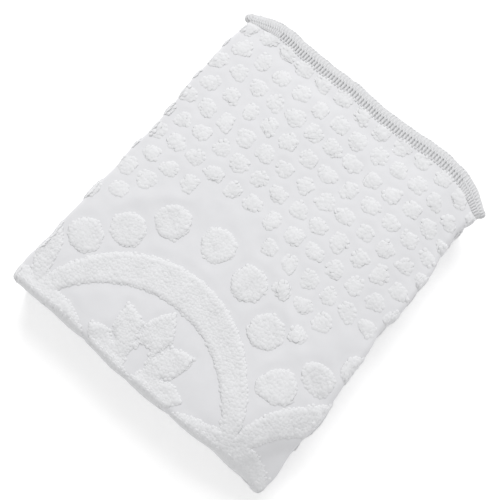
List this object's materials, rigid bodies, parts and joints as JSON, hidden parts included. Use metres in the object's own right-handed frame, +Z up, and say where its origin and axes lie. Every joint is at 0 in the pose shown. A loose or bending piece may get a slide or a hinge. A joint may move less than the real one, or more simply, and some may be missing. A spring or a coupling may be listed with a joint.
{
  "type": "folded chenille bedspread",
  "caption": "White chenille bedspread folded into a flat rectangular packet, tufted pattern outwards, with its fringed hem along one short side.",
  "frame": {"origin": "middle of the packet's underside, on the surface that it lies on", "axes": "+X along the fringed hem, +Y from the closed end towards the fringed hem, +Z up through the layers"},
  "size_m": [0.4718, 0.5636, 0.0796],
  "materials": {
    "cloth": "tufted cotton chenille, matt",
    "fringe": "twisted cotton cords, matt"
  },
  "bodies": {
    "root": {"spread": "cloth", "fringe": "fringe"}
  },
  "joints": []
}
